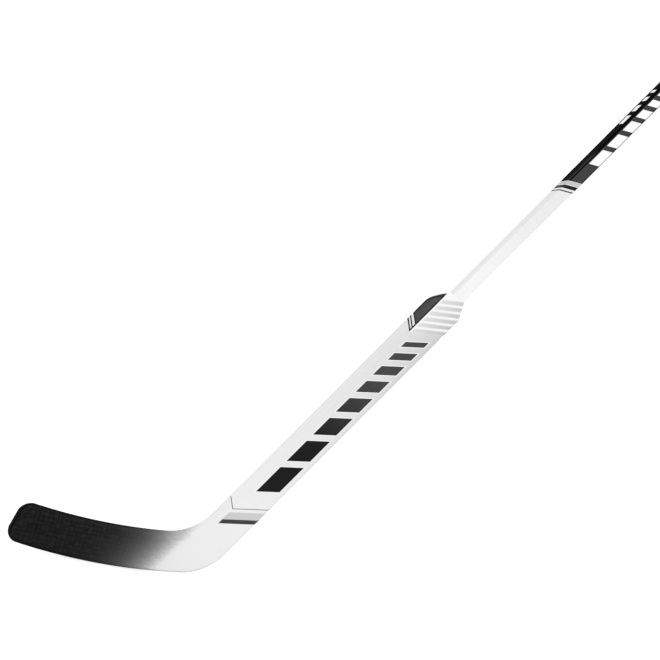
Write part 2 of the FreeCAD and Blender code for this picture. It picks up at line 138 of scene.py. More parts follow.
class Graph:
    """Short calls on a node tree. Each gives back the output socket of the node it adds."""

    def __init__(self, tree):
        self.tree = tree

    def node(self, kind, **settings):
        made = self.tree.nodes.new(kind)
        for name, value in settings.items():
            setattr(made, name, value)
        return made

    def feed(self, socket, value):
        if isinstance(value, bpy.types.NodeSocket):
            self.tree.links.new(value, socket)
        else:
            socket.default_value = value

    def math(self, operation, *values, clamp=False):
        made = self.node("ShaderNodeMath", operation=operation, use_clamp=clamp)
        for socket, value in zip(made.inputs, values):
            self.feed(socket, value)
        return made.outputs[0]

    def ramp(self, value, low, high, start=0.0, end=1.0, smooth=True):
        """Start below low, end above high, and a slope between them."""
        kind = "SMOOTHSTEP" if smooth else "LINEAR"
        made = self.node("ShaderNodeMapRange", interpolation_type=kind, clamp=True)
        for name, amount in (("From Min", low), ("From Max", high), ("To Min", start), ("To Max", end)):
            self.feed(made.inputs[name], amount)
        self.feed(made.inputs["Value"], value)
        return made.outputs["Result"]

    def mix(self, factor, first, second):
        made = self.node("ShaderNodeMix", data_type="RGBA")
        sockets = [socket for socket in made.inputs if socket.type == "RGBA"]
        self.feed(made.inputs["Factor"], factor)
        self.feed(sockets[0], first)
        self.feed(sockets[1], second)
        return next(socket for socket in made.outputs if socket.type == "RGBA")

    def combine(self, x, y, z):
        made = self.node("ShaderNodeCombineXYZ")
        for socket, value in zip(made.inputs, (x, y, z)):
            self.feed(socket, value)
        return made.outputs[0]

    def noise(self, vector, scale, detail=2.0):
        made = self.node("ShaderNodeTexNoise")
        self.feed(made.inputs["Vector"], vector)
        self.feed(made.inputs["Scale"], scale)
        self.feed(made.inputs["Detail"], detail)
        return made.outputs["Fac"]

    def use(self, group, **values):
        """Places a node group and gives back its node."""
        made = self.node("ShaderNodeGroup", node_tree=group)
        for name, value in values.items():
            self.feed(made.inputs[name], value)
        return made

    def stripe(self, place, low, high, soft=PAINT_EDGE_SOFT):
        """A mask that is 1 where place lies between low and high."""
        return self.use(STRIPE, Place=place, Low=low, High=high, Soft=soft).outputs["Mask"]

    def both(self, first, *others):
        for other in others:
            first = self.math("MULTIPLY", first, other)
        return first

    def either(self, first, *others):
        for other in others:
            first = self.math("MAXIMUM", first, other)
        return first


def new_group(name, inputs, outputs):
    """An empty shader group with float or colour sockets, its graph, its input node and its output node."""
    group = bpy.data.node_groups.new(name, "ShaderNodeTree")
    kinds = {"value": "NodeSocketFloat", "color": "NodeSocketColor"}
    for direction, sockets in (("INPUT", inputs), ("OUTPUT", outputs)):
        for label, kind in sockets.items():
            group.interface.new_socket(label, in_out=direction, socket_type=kinds[kind])
    graph = Graph(group)
    return graph, graph.node("NodeGroupInput").outputs, graph.node("NodeGroupOutput").inputs


def stripe_group():
    """A soft-edged band of a coordinate."""
    graph, given, result = new_group(
        "stripe", {"Place": "value", "Low": "value", "High": "value", "Soft": "value"}, {"Mask": "value"})
    rise = graph.math("DIVIDE", graph.math("SUBTRACT", given["Place"], given["Low"]), given["Soft"])
    fall = graph.math("DIVIDE", graph.math("SUBTRACT", given["High"], given["Place"]), given["Soft"])
    inside = graph.math("ADD", graph.math("MINIMUM", rise, fall), 0.5, clamp=True)
    graph.feed(result["Mask"], inside)
    return graph.tree


def stick_place_group():
    """Where a point lies on the stick, in metres, and how squarely its surface faces front or back.

    Level and height are measured on the ice, which the blade lies along.
    """
    names = ("Along", "Across", "Out", "Facing", "Level", "Height")
    graph, _, result = new_group("stick_place", {}, dict.fromkeys(names, "value"))
    coordinates = graph.node("ShaderNodeTexCoord")
    standing = graph.node("ShaderNodeSeparateXYZ")
    graph.feed(standing.inputs[0], coordinates.outputs["Object"])
    graph.feed(result["Level"], standing.outputs["X"])
    graph.feed(result["Height"], standing.outputs["Z"])
    turned = graph.node("ShaderNodeMapping", vector_type="POINT")
    graph.feed(turned.inputs["Vector"], coordinates.outputs["Object"])
    turned.inputs["Rotation"].default_value = (0, LIE, 0)
    turned.inputs["Location"].default_value = (-HEEL.dot(ALONG), 0, -HEEL.dot(ACROSS))
    parts = graph.node("ShaderNodeSeparateXYZ")
    graph.feed(parts.inputs[0], turned.outputs["Vector"])
    graph.feed(result["Along"], parts.outputs["X"])
    graph.feed(result["Across"], parts.outputs["Z"])
    graph.feed(result["Out"], graph.math("MULTIPLY", parts.outputs["Y"], -1.0))
    normal = graph.node("ShaderNodeSeparateXYZ")
    graph.feed(normal.inputs[0], coordinates.outputs["Normal"])
    graph.feed(result["Facing"], graph.math("ABSOLUTE", normal.outputs["Y"]))
    return graph.tree


# Streaks are noise drawn out along the stick, coarse and fine together.
STREAK_STRETCH = 0.06
STREAK_COARSE_SCALE = 420.0
STREAK_FINE_SCALE = 1500.0
STREAK_COARSE_SHARE = 0.6


def fibre_streaks_group():
    """Faint streaks that run lengthwise under paint, as a factor round 1 and as a height."""
    graph, given, result = new_group(
        "fibre_streaks", {"Along": "value", "Across": "value", "Out": "value", "Strength": "value"},
        {"Factor": "value", "Height": "value"})
    drawn_out = graph.math("MULTIPLY", given["Along"], STREAK_STRETCH)
    stretched = graph.combine(drawn_out, given["Across"], given["Out"])
    coarse = graph.noise(stretched, STREAK_COARSE_SCALE, detail=3.0)
    fine = graph.noise(stretched, STREAK_FINE_SCALE, detail=1.0)
    blend = graph.math("ADD", graph.math("MULTIPLY", coarse, STREAK_COARSE_SHARE),
                       graph.math("MULTIPLY", fine, 1 - STREAK_COARSE_SHARE))
    swing = graph.math("MULTIPLY", graph.math("SUBTRACT", blend, 0.5), given["Strength"])
    graph.feed(result["Factor"], graph.math("ADD", swing, 1.0))
    graph.feed(result["Height"], blend)
    return graph.tree


def gloss_variation_group():
    """A roughness that wanders a little, as on sprayed or moulded surfaces."""
    graph, given, result = new_group(
        "gloss_variation", {"Roughness": "value", "Swing": "value", "Scale": "value"},
        {"Roughness": "value"})
    coordinates = graph.node("ShaderNodeTexCoord")
    cloud = graph.noise(coordinates.outputs["Object"], given["Scale"], detail=4.0)
    swing = graph.math("MULTIPLY", graph.math("SUBTRACT", cloud, 0.5), given["Swing"])
    graph.feed(result["Roughness"], graph.math("ADD", given["Roughness"], swing, clamp=True))
    return graph.tree


# Crossing tows catch the light a little less, each square of tow has a tone of its own, and the fibres in
# them lie unevenly. The shares say how much of the cloth's tone comes from each.
TOW_FLATNESS = 4.0
WEFT_SHADE = 0.90
FIBRE_STRETCH = 0.3
FIBRE_SCALE = 260.0
FIBRE_CONTRAST = (0.3, 0.7)
RELIEF_SHARE = 0.30
FIBRE_SHARE = 0.45
SQUARE_SHARE = 0.25


def weave_group():
    """A plain weave of flat tows: one shows in each square, dipping under its neighbours at the edges."""
    graph, given, result = new_group(
        "weave", {"Lengthwise": "value", "Crosswise": "value", "Tow": "value"},
        {"Tone": "value", "Height": "value", "Fibres": "value"})
    warp = graph.math("DIVIDE", given["Crosswise"], given["Tow"])
    weft = graph.math("DIVIDE", given["Lengthwise"], given["Tow"])

    def crown(place):
        """Flat over most of a tow: 0 at its edges and 1 along its middle."""
        off = graph.math("SUBTRACT", graph.math("MULTIPLY", graph.math("FRACT", place), 2.0), 1.0)
        return graph.math("SUBTRACT", 1.0, graph.math("POWER", graph.math("ABSOLUTE", off), TOW_FLATNESS))

    column = graph.math("FLOOR", warp)
    row = graph.math("FLOOR", weft)
    under = graph.math("FLOORED_MODULO", graph.math("ADD", column, row), 2.0)
    squares = graph.node("ShaderNodeTexWhiteNoise", noise_dimensions="2D")
    graph.feed(squares.inputs["Vector"], graph.combine(column, row, 0.0))
    height = graph.both(crown(warp), crown(weft))
    graph.feed(result["Height"], height)
    lay = graph.combine(graph.math("MULTIPLY", given["Lengthwise"], FIBRE_STRETCH), given["Crosswise"], 0.0)
    fibres = graph.ramp(graph.noise(lay, FIBRE_SCALE, detail=3.0), *FIBRE_CONTRAST, smooth=False)
    graph.feed(result["Fibres"], fibres)
    shade = graph.ramp(under, 0.0, 1.0, 1.0, WEFT_SHADE, smooth=False)
    tone = graph.math("MULTIPLY", graph.both(height, shade), RELIEF_SHARE)
    tone = graph.math("ADD", tone, graph.math("MULTIPLY", fibres, FIBRE_SHARE))
    tone = graph.math("ADD", tone, graph.math("MULTIPLY", squares.outputs["Value"], SQUARE_SHARE))
    graph.feed(result["Tone"], tone)
    return graph.tree


# The coordinates that a painted layout is drawn in.
LAYOUT_PLACE = ("Along", "Across", "Out", "Facing")

STRIPE = stripe_group()
STICK_PLACE = stick_place_group()
FIBRE_STREAKS = fibre_streaks_group()
GLOSS_VARIATION = gloss_variation_group()
WEAVE = weave_group()

# Places on the paddle, in metres, and the slants of its stripes. A slanted stripe is placed by where it
# crosses the flat's edge, and one of the shoulder's by its upper end, which stops short of that edge.
FLAT_SLANT = 0.79
BEVEL_SLANT = 0.87
PADDLE_FADE = (0.13, 0.62)
FADE_AT_UPPER_EDGE = 0.45
FADE_END_SOFT = 0.002
FLAT_EDGE_SOFT = 0.001
HEEL_DARK = (0.0917, 0.1023)
HEEL_LIGHT = (0.1023, 0.1205)
HEEL_LINE = (0.1287, 0.1305)
HEEL_LINE_FACING = 0.6
SHOULDER_SLANT = 0.68
SHOULDER_STRIPE_FIRST = 0.5949
SHOULDER_STRIPE_STEP = 0.0150
SHOULDER_STRIPE_WIDTH = 0.0092
SHOULDER_STRIPE_SOFT = 0.0034
SHOULDER_STRIPE_COUNT = 6
SHOULDER_STRIPE_END = 0.0230
PANEL_START = 0.6080
PANEL_TOP = 0.7200
PANEL_RIM = 0.0026
PANEL_TILT = math.radians(30.0)
PANEL_INSET = 0.0008
PANEL_NOSE_RUN = (0.650, 0.688)
PANEL_NOSE_FACING = (0.80, 0.45)
PANEL_SLASHES = ((0.5925, 0.5958), (0.5992, 0.6022))
PANEL_TAIL = 0.5945

# A lane of dark slanted bars, each shorter than the one before it, with equal gaps. They are placed by
# where they cross the paddle's axis.
BAR_LANE = (-0.0205, 0.0165)
BAR_START = 0.196
BAR_GAP = 0.016
BAR_LENGTHS = (0.064, 0.053, 0.044, 0.036, 0.029, 0.023, 0.018, 0.013)
BAR_KEYLINE = 0.0018
BAR_FADE = (0.30, 0.52)


def chevron(graph, place):
    """Lengthwise place on a stripe that slants back from the flat's edge on both sides."""
    away = graph.math("SUBTRACT", place["Across"], FLAT_EDGE)
    on_flat = graph.math("MULTIPLY", graph.math("MINIMUM", away, 0.0), -FLAT_SLANT)
    on_bevel = graph.math("MULTIPLY", graph.math("MAXIMUM", away, 0.0), BEVEL_SLANT)
    return graph.math("SUBTRACT", place["Along"], graph.math("ADD", on_flat, on_bevel))


def slanted(graph, place, slant, pivot):
    """Lengthwise place on a stripe that slants one way, as read where Across is pivot."""
    away = graph.math("SUBTRACT", place["Across"], pivot)
    return graph.math("ADD", place["Along"], graph.math("MULTIPLY", away, slant))


def run_of_bars(start, gap, lengths):
    """Where each bar of a row starts and ends."""
    bars = []
    for length in lengths:
        bars.append((start, start + length))
        start += length + gap
    return bars


def faded_white(graph, place):
    """White that greys slowly towards the shoulder and the lower edge, up to the shoulder's stripes."""
    rise = graph.ramp(place["Along"], *PADDLE_FADE, smooth=False)
    lower = graph.ramp(place["Across"], PADDLE_UPPER, -PADDLE_LOWER, FADE_AT_UPPER_EDGE, 1.0, smooth=False)
    first = slanted(graph, place, SHOULDER_SLANT, SHOULDER_STRIPE_END)
    below = graph.stripe(first, -BEYOND, SHOULDER_STRIPE_FIRST, FADE_END_SOFT)
    bevel = graph.ramp(place["Across"], FLAT_EDGE - FLAT_EDGE_SOFT / 2, FLAT_EDGE + FLAT_EDGE_SOFT / 2)
    amount = graph.both(rise, lower, graph.either(below, bevel))
    return graph.mix(amount, grey(PAINT_WHITE), grey(FADED_GREY))


def heel_stripes(graph, place, color):
    """A dark and a light stripe across the flat, and a thin chevron line over the whole paddle."""
    at = chevron(graph, place)
    on_flat = graph.math("LESS_THAN", place["Across"], FLAT_EDGE)
    color = graph.mix(graph.both(graph.stripe(at, *HEEL_LIGHT), on_flat), color, grey(STRIPE_GREY))
    color = graph.mix(graph.both(graph.stripe(at, *HEEL_DARK), on_flat), color, grey(INK_GREY))
    line = graph.mix(on_flat, grey(LINE_DARK), grey(LINE_GREY))
    off_nose = graph.math("GREATER_THAN", place["Facing"], HEEL_LINE_FACING)
    return graph.mix(graph.both(graph.stripe(at, *HEEL_LINE), off_nose), color, line)


def paddle_bars(graph, place, color):
    """Dark bars with a white keyline. They lighten from the heel to the shoulder."""
    at = slanted(graph, place, FLAT_SLANT, 0.0)
    bars = run_of_bars(BAR_START, BAR_GAP, BAR_LENGTHS)
    low, high = BAR_LANE
    lane = graph.stripe(place["Across"], low, high)
    wide_lane = graph.stripe(place["Across"], low - BAR_KEYLINE, high + BAR_KEYLINE)
    marks = graph.either(*[graph.stripe(at, start, end) for start, end in bars])
    wide_marks = graph.either(*[
        graph.stripe(at, start - BAR_KEYLINE, end + BAR_KEYLINE) for start, end in bars])
    color = graph.mix(graph.both(wide_lane, wide_marks), color, grey(KEYLINE_WHITE))
    ink = graph.mix(graph.ramp(place["Along"], *BAR_FADE), grey(INK_BLACK), grey(INK_GREY))
    return graph.mix(graph.both(lane, marks), color, ink)


def shoulder_stripes(graph, place, color):
    """Light stripes across the flat below the shaft, which deepen towards the lower edge."""
    at = slanted(graph, place, SHOULDER_SLANT, SHOULDER_STRIPE_END)
    masks = []
    for index in range(SHOULDER_STRIPE_COUNT):
        start = SHOULDER_STRIPE_FIRST + SHOULDER_STRIPE_STEP * index
        masks.append(graph.stripe(at, start, start + SHOULDER_STRIPE_WIDTH, SHOULDER_STRIPE_SOFT))
    on_flat = graph.math("LESS_THAN", place["Across"], FLAT_EDGE)
    above = graph.both(graph.stripe(at, SHOULDER_STRIPE_FIRST, BEYOND, FADE_END_SOFT), on_flat)
    color = graph.mix(above, color, grey(GAP_WHITE))
    deepening = graph.ramp(place["Across"], SHOULDER_STRIPE_END, -PADDLE_LOWER, smooth=False)
    tone = graph.mix(deepening, grey(STRIPE_PALE), grey(STRIPE_DEEP))
    starts = graph.math("LESS_THAN", place["Across"], SHOULDER_STRIPE_END)
    return graph.mix(graph.both(graph.either(*masks), starts), color, tone)


def shoulder_panel(graph, place, color):
    """A dark panel on the bevel of the upper shoulder, with a black rim and two slashes below it.

    Its inner side is cut by a tilted plane along the flat's edge, so it ends in a point on the shoulder.
    """
    at = chevron(graph, place)
    past_edge = graph.math("SUBTRACT", place["Across"], FLAT_EDGE)
    depth = graph.math("SUBTRACT", HALF_PADDLE, graph.math("ABSOLUTE", place["Out"]))
    slope = graph.math("ADD", graph.math("MULTIPLY", past_edge, math.cos(PANEL_TILT)),
                       graph.math("MULTIPLY", depth, math.sin(PANEL_TILT)))
    past_cut = graph.math("SUBTRACT", slope, PANEL_INSET)
    on_bevel = graph.math("GREATER_THAN", past_cut, 0.0)
    fill = graph.both(graph.stripe(at, PANEL_START, PANEL_TOP), on_bevel)
    slashes = graph.either(*[graph.stripe(at, *slash) for slash in PANEL_SLASHES])
    line = graph.stripe(past_cut, 0.0, PANEL_RIM)
    tail = graph.both(graph.stripe(place["Along"], PANEL_TAIL, PANEL_TOP), line)
    edge = graph.stripe(at, PANEL_START, PANEL_START + PANEL_RIM)
    steepness = graph.ramp(place["Along"], *PANEL_NOSE_RUN, *PANEL_NOSE_FACING, smooth=False)
    nose = graph.math("LESS_THAN", place["Facing"], steepness)
    rim = graph.both(graph.either(nose, edge), fill)
    dark = graph.either(rim, tail, graph.both(slashes, on_bevel))
    color = graph.mix(fill, color, grey(PANEL_GREY))
    return graph.mix(dark, color, grey(INK_BLACK))


def paddle_layout_group():
    """All the painted stripes and bars of paddle and heel as one colour."""
    graph, place, result = new_group(
        "paddle_layout", dict.fromkeys(LAYOUT_PLACE, "value"), {"Color": "color"})
    color = faded_white(graph, place)
    color = paddle_bars(graph, place, color)
    color = heel_stripes(graph, place, color)
    color = shoulder_stripes(graph, place, color)
    graph.feed(result["Color"], shoulder_panel(graph, place, color))
    return graph.tree


# Places on the shaft. Its bands and bars are cut obliquely, and are placed by where they cross its axis.
SHAFT_FADE = (0.70, 0.98)
# Where the shaft's sides take painted shade, read by how little they face front or back, and how much of it.
SIDE_SHADE_FACING = (0.4, 0.1)
SIDE_SHADE_SHARE = 0.55
BAND_SLANT_ACROSS = 0.498
BAND_SLANT_OUT = -0.658
BAND_LINE = (0.9746, 0.9774)
BAND_DARK = (0.9820, 0.9898)
BAND_LIGHT = (0.9912, 0.9992)
BAND_FILM = 1.0000
FILM_CORNER = 0.0102
FILM_CORNER_SOFT = 0.0008
FILM_BAR_LANE = (-0.0110, 0.0080)
FILM_BAR_START = 1.046
FILM_BAR_GAP = 0.011
FILM_BAR_LENGTHS = (0.036, 0.030, 0.024, 0.019, 0.015, 0.011, 0.008)
FILM_SIDE_LANE = (-0.0045, 0.0045)
FILM_SIDE_START = 1.150
FILM_SIDE_LENGTHS = (0.022, 0.016, 0.011, 0.007)
FILM_GLINT_LANE = (0.0128, 0.0139)
FILM_GLINT_END = (1.055, 1.085)


def shaft_layout_group():
    """The bands where the shaft's white paint meets its dark film, the film's light bars, and painted shade
    on the shaft's sides.
    """
    graph, place, result = new_group(
        "shaft_layout", dict.fromkeys(LAYOUT_PLACE, "value"), {"Color": "color"})
    oblique = graph.math("ADD", graph.math("MULTIPLY", place["Across"], BAND_SLANT_ACROSS),
                         graph.math("MULTIPLY", place["Out"], BAND_SLANT_OUT))
    at = graph.math("ADD", place["Along"], oblique)
    color = graph.mix(graph.ramp(place["Along"], *SHAFT_FADE), grey(SHAFT_WHITE), grey(SHAFT_GREYED))
    # Painted shade: the sides face the light less than the front does, so they are painted greyer.
    painted_side_shade = graph.ramp(place["Facing"], *SIDE_SHADE_FACING, 0.0, SIDE_SHADE_SHARE)
    color = graph.mix(painted_side_shade, color, grey(SHAFT_SIDE_PAINTED_SHADE))
    color = graph.mix(graph.stripe(at, *BAND_LINE), color, grey(INK_GREY))
    color = graph.mix(graph.stripe(at, *BAND_DARK), color, grey(BAND_BLACK))
    color = graph.mix(graph.stripe(at, *BAND_LIGHT), color, grey(BAND_GREY))
    film = graph.stripe(at, BAND_FILM, BEYOND)
    corner = graph.math("ABSOLUTE", place["Across"])
    side = graph.stripe(corner, FILM_CORNER, SHAFT_WIDTH, FILM_CORNER_SOFT)
    shade = graph.mix(side, grey(FILM_FRONT), grey(FILM_SIDE))
    glint = graph.both(graph.stripe(place["Across"], *FILM_GLINT_LANE),
                       graph.math("GREATER_THAN", place["Out"], 0.0),
                       graph.ramp(place["Along"], *FILM_GLINT_END, 1.0, 0.0))
    shade = graph.mix(glint, shade, grey(FILM_GLINT))
    bars = run_of_bars(FILM_BAR_START, FILM_BAR_GAP, FILM_BAR_LENGTHS)
    front_bars = graph.either(*[graph.stripe(at, *bar) for bar in bars])
    front_bars = graph.both(front_bars, graph.stripe(place["Across"], *FILM_BAR_LANE))
    bars = run_of_bars(FILM_SIDE_START, FILM_BAR_GAP, FILM_SIDE_LENGTHS)
    side_bars = graph.either(*[graph.stripe(at, *bar) for bar in bars])
    side_bars = graph.both(side_bars, graph.stripe(place["Out"], *FILM_SIDE_LANE), side)
    shade = graph.mix(graph.either(front_bars, side_bars), shade, grey(KEYLINE_WHITE))
    graph.feed(result["Color"], graph.mix(film, color, shade))
    return graph.tree


# The blade's black rim, by how far it comes in from the top and the toe, and from the sole away from the
# toe, and the rounds of the toe's corners.
RIM_WIDTH = 0.0018
SOLE_RIM_WIDTH = 0.0066
SOLE_RIM_GROWTH = (0.004, 0.030)
TOE_TOP_ROUND = 0.0230
TOE_SOLE_ROUND = 0.0256


class BladeEdge:
    """The arc of the sole or the top, which leaves the paddle's edge by a round.

    Places are (along, across), lengths are in metres and the turn is in degrees.
    """

    def __init__(self, side, height, round_radius, turn, radius, length):
        turn = math.radians(turn)
        drop = round_radius * math.sin(turn)
        reach = round_radius * (1 - math.cos(turn))
        start = Vector((height - drop, side + reach))
        self.radius = radius
        self.center = start + Vector((math.sin(turn), math.cos(turn))) * radius
        turned = turn + length / radius
        self.end = self.center - Vector((math.sin(turned), math.cos(turned))) * radius


SOLE_EDGE = BladeEdge(
    side=-PADDLE_LOWER, height=0.060, round_radius=0.1065, turn=52.0, radius=1.375, length=0.3597)
TOP_EDGE = BladeEdge(
    side=PADDLE_UPPER, height=0.100, round_radius=0.1055, turn=54.4, radius=1.385, length=0.2894)


def blade_rim_group():
    """A mask of the rim round the blade, measured in from its edges and round the toe's corners."""
    graph, place, result = new_group("blade_rim", {"Along": "value", "Across": "value"}, {"Mask": "value"})

    def hypotenuse(first, second):
        first_square = graph.math("MULTIPLY", first, first)
        second_square = graph.math("MULTIPLY", second, second)
        return graph.math("SQRT", graph.math("ADD", first_square, second_square))

    def from_center(edge):
        return hypotenuse(graph.math("SUBTRACT", place["Along"], edge.center.x),
                          graph.math("SUBTRACT", place["Across"], edge.center.y))

    toe_line = (TOP_EDGE.end - SOLE_EDGE.end).normalized()
    inward = Vector((toe_line.y, -toe_line.x))
    reach = graph.math("ADD", graph.math("MULTIPLY", place["Along"], inward.x),
                       graph.math("MULTIPLY", place["Across"], inward.y))
    from_toe = graph.math("SUBTRACT", reach, inward.dot(SOLE_EDGE.end))

    def depth(from_edge, corner):
        """Distance in from an edge and from the toe, round the corner between them."""
        return graph.math("SUBTRACT", corner, hypotenuse(
            graph.math("MAXIMUM", graph.math("SUBTRACT", corner, from_edge), 0.0),
            graph.math("MAXIMUM", graph.math("SUBTRACT", corner, from_toe), 0.0)))

    top_depth = depth(graph.math("SUBTRACT", from_center(TOP_EDGE), TOP_EDGE.radius), TOE_TOP_ROUND)
    sole_depth = depth(graph.math("SUBTRACT", SOLE_EDGE.radius, from_center(SOLE_EDGE)), TOE_SOLE_ROUND)
    sole_width = graph.ramp(from_toe, *SOLE_RIM_GROWTH, RIM_WIDTH, SOLE_RIM_WIDTH)
    top_rim = graph.stripe(top_depth, -BEYOND, RIM_WIDTH)
    sole_rim = graph.stripe(sole_depth, -BEYOND, sole_width)
    graph.feed(result["Mask"], graph.either(top_rim, sole_rim))
    return graph.tree


PADDLE_LAYOUT = paddle_layout_group()
SHAFT_LAYOUT = shaft_layout_group()
BLADE_RIM = blade_rim_group()

# Fibre streaks show more through dark ink and film than through white paint.
STREAK_TONES = (0.10, 0.40)
DARK_STREAKS = 0.85
PADDLE_STREAKS = 0.09
SHAFT_STREAKS = 0.05


class Finish:
    """A new material with a Principled shader, its graph, and the stick's coordinates."""

    def __init__(self, name, **constants):
        self.material = bpy.data.materials.new(name)
        self.material.use_nodes = True
        self.graph = Graph(self.material.node_tree)
        self.shader = self.material.node_tree.nodes["Principled BSDF"]
        for label, value in constants.items():
            self.shader.inputs[label.replace("_", " ")].default_value = value
        self.place = self.graph.use(STICK_PLACE).outputs

    def spot(self, *names):
        """The named stick coordinates, ready to hand to a group."""
        return {name: self.place[name] for name in names}

    def solid_place(self):
        """The three stick coordinates as one vector, for patterns that fill a solid."""
        return self.graph.combine(self.place["Along"], self.place["Across"], self.place["Out"])

    def painted(self, layout):
        """The colour that a painted layout gives here."""
        return self.graph.use(layout, **self.spot(*LAYOUT_PLACE)).outputs["Color"]

    def color(self, value):
        self.graph.feed(self.shader.inputs["Base Color"], value)

    def gloss(self, roughness, swing, scale):
        made = self.graph.use(GLOSS_VARIATION, Roughness=roughness, Swing=swing, Scale=scale)
        self.graph.feed(self.shader.inputs["Roughness"], made.outputs["Roughness"])

    def bump(self, height, distance, strength):
        made = self.graph.node("ShaderNodeBump")
        self.graph.feed(made.inputs["Height"], height)
        self.graph.feed(made.inputs["Distance"], distance)
        self.graph.feed(made.inputs["Strength"], strength)
        self.graph.feed(self.shader.inputs["Normal"], made.outputs["Normal"])

    def streaked(self, layout, on_white):
        """Colours the finish by a painted layout with fibre streaks in it, and gives the streaks' height."""
        graph = self.graph
        tone = graph.node("ShaderNodeSeparateColor")
        graph.feed(tone.inputs[0], layout)
        strength = graph.ramp(tone.outputs["Red"], *STREAK_TONES, DARK_STREAKS, on_white)
        streaks = graph.use(FIBRE_STREAKS, Strength=strength, **self.spot("Along", "Across", "Out")).outputs
        tinted = graph.node("ShaderNodeVectorMath", operation="SCALE")
        graph.feed(tinted.inputs[0], layout)
        graph.feed(tinted.inputs["Scale"], streaks["Factor"])
        self.color(tinted.outputs[0])
        return streaks["Height"]


def paddle_paint():
    """White gloss paint over fibre cloth, with the painted layout."""
    finish = Finish("paddle_paint", Specular_IOR_Level=0.10, Coat_Weight=0.02, Coat_Roughness=0.15)
    streaks = finish.streaked(finish.painted(PADDLE_LAYOUT), PADDLE_STREAKS)
    finish.gloss(roughness=0.34, swing=0.12, scale=30.0)
    finish.bump(streaks, distance=0.00004, strength=0.35)
    return finish.material


# The spray is full up to its edge, read across the stick, and past it falls to about a third with each
# spray length. It starts to thin a little sooner on the bevels, and there the difference dies out along
# the blade. Its grain follows the cloth's fibres in part.
SPRAY_EDGE = 0.0515
SPRAY_LENGTH = 0.025
SPRAY_WANDER = 0.014
SPRAY_SOFT = 0.14
SPRAY_BEVEL_SHIFT = 0.0057
SPRAY_BEVEL_FADE = (0.054, 0.077)
SPRAY_BEVEL_FACING = (0.97, 0.90)
SPRAY_GRAIN = 260.0
SPRAY_FIBRE_SHARE = 0.3
TOW_WIDTH = 0.0090


def blade_finish():
    """Dark woven cloth under satin resin, with smooth black edges, sprayed white towards the heel."""
    finish = Finish("blade_finish", Specular_IOR_Level=0.02)
    graph = finish.graph
    weave = graph.use(
        WEAVE, Tow=TOW_WIDTH, Lengthwise=finish.place["Level"], Crosswise=finish.place["Height"]).outputs
    cloth = graph.mix(weave["Tone"], grey(WEAVE_DARK), grey(WEAVE_LIGHT, WEAVE_COOLNESS))
    rim = graph.use(BLADE_RIM, **finish.spot("Along", "Across")).outputs["Mask"]
    bare = graph.mix(rim, cloth, grey(RIM_BLACK))
    flat_place = graph.combine(finish.place["Along"], finish.place["Across"], 0.0)
    grain = graph.noise(flat_place, SPRAY_GRAIN, detail=3.0)
    droplets = graph.math("MULTIPLY", grain, 1 - SPRAY_FIBRE_SHARE)
    speckle = graph.math("ADD", droplets, graph.math("MULTIPLY", weave["Fibres"], SPRAY_FIBRE_SHARE))
    wander = graph.math("MULTIPLY", graph.math("SUBTRACT", speckle, 0.5), SPRAY_WANDER)
    sooner = graph.ramp(finish.place["Across"], *SPRAY_BEVEL_FADE, SPRAY_BEVEL_SHIFT, 0.0)
    sooner = graph.both(sooner, graph.ramp(finish.place["Facing"], *SPRAY_BEVEL_FACING))
    across = graph.math("ADD", finish.place["Across"], graph.math("ADD", wander, sooner))
    past_edge = graph.math("DIVIDE", graph.math("SUBTRACT", across, SPRAY_EDGE), SPRAY_LENGTH)
    squared = graph.math("MULTIPLY", past_edge, past_edge)
    rounded = graph.math("SQRT", graph.math("ADD", squared, SPRAY_SOFT * SPRAY_SOFT))
    thinning = graph.math("MULTIPLY", graph.math("ADD", past_edge, rounded), -0.5)
    spray = graph.math("EXPONENT", thinning)
    finish.color(graph.mix(spray, bare, finish.painted(PADDLE_LAYOUT)))
    finish.gloss(roughness=0.42, swing=0.14, scale=40.0)
    cover = graph.either(rim, spray)
    relief = graph.both(weave["Height"], graph.math("SUBTRACT", 1.0, cover))
    finish.bump(relief, distance=0.00012, strength=0.5)
    return finish.material


def shaft_paint():
    """White gloss paint on the shaft, with its bands."""
    finish = Finish("shaft_paint", Specular_IOR_Level=0.10, Coat_Weight=0.02, Coat_Roughness=0.15)
    streaks = finish.streaked(finish.painted(SHAFT_LAYOUT), SHAFT_STREAKS)
    finish.gloss(roughness=0.36, swing=0.12, scale=30.0)
    finish.bump(streaks, distance=0.00004, strength=0.3)
    return finish.material


def wrap_film():
    """Satin dark film with light bars and a fine pebble."""
    finish = Finish("wrap_film", Specular_IOR_Level=0.008)
    finish.streaked(finish.painted(SHAFT_LAYOUT), SHAFT_STREAKS)
    finish.gloss(roughness=0.48, swing=0.16, scale=60.0)
    pebble = finish.graph.noise(finish.solid_place(), scale=2600.0)
    finish.bump(pebble, distance=0.00005, strength=0.4)
    return finish.material


def butt_rubber():
    """Dull moulded rubber."""
    finish = Finish("butt_rubber", Specular_IOR_Level=0.25)
    graph = finish.graph
    spot = finish.solid_place()
    dust = graph.noise(spot, scale=220.0, detail=5.0)
    dusty = graph.ramp(dust, low=0.35, high=0.75)
    finish.color(graph.mix(dusty, grey(RUBBER_BLACK), grey(RUBBER_DUSTY)))
    finish.gloss(roughness=0.68, swing=0.2, scale=90.0)
    finish.bump(graph.noise(spot, scale=3200.0), distance=0.00006, strength=0.5)
    return finish.material


def core_foam():
    """Closed-cell foam."""
    finish = Finish("core_foam", Specular_IOR_Level=0.2)
    graph = finish.graph
    cells_to_metre = 900.0
    cells = graph.node("ShaderNodeTexVoronoi")
    graph.feed(cells.inputs["Vector"], finish.solid_place())
    graph.feed(cells.inputs["Scale"], cells_to_metre)
    from_middle = cells.outputs["Distance"]
    finish.color(graph.mix(from_middle, FOAM_LIGHT, FOAM_DARK))
    finish.gloss(roughness=0.85, swing=0.1, scale=120.0)
    finish.bump(from_middle, distance=0.0003, strength=0.6)
    return finish.material


